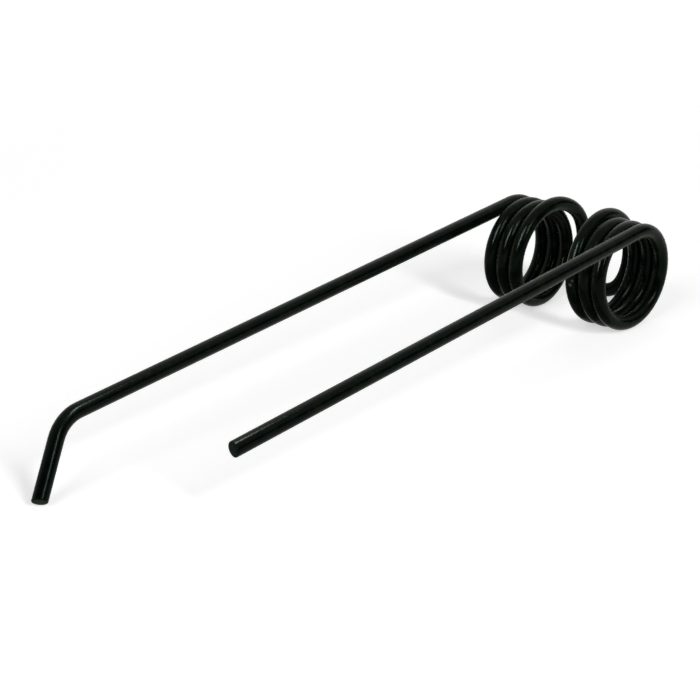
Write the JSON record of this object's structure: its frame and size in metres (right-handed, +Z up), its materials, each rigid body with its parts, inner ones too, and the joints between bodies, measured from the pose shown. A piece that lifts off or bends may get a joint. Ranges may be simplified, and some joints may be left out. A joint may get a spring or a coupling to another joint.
{
  "type": "tedder tine",
  "caption": "Double-coil spring tine for a hay tedder, bent from one round wire: two coils joined by a U-shaped bridge, one straight leg and one longer leg with a bent tip.",
  "frame": {"origin": "on the floor, under the middle of the tine's box, with the tine lying at rest on the undersides of its two coils and on the rounded end of its bent tip", "axes": "+X along the coils' common axis, towards the short straight leg; +Y from the legs' ends towards the coils and the bridge; +Z up"},
  "size_m": [0.1102, 0.4528, 0.0717],
  "materials": {
    "black_paint": "black, slightly green, satin gloss paint over spring steel"
  },
  "bodies": {
    "root": {"spring_tine": "black_paint"}
  },
  "joints": []
}
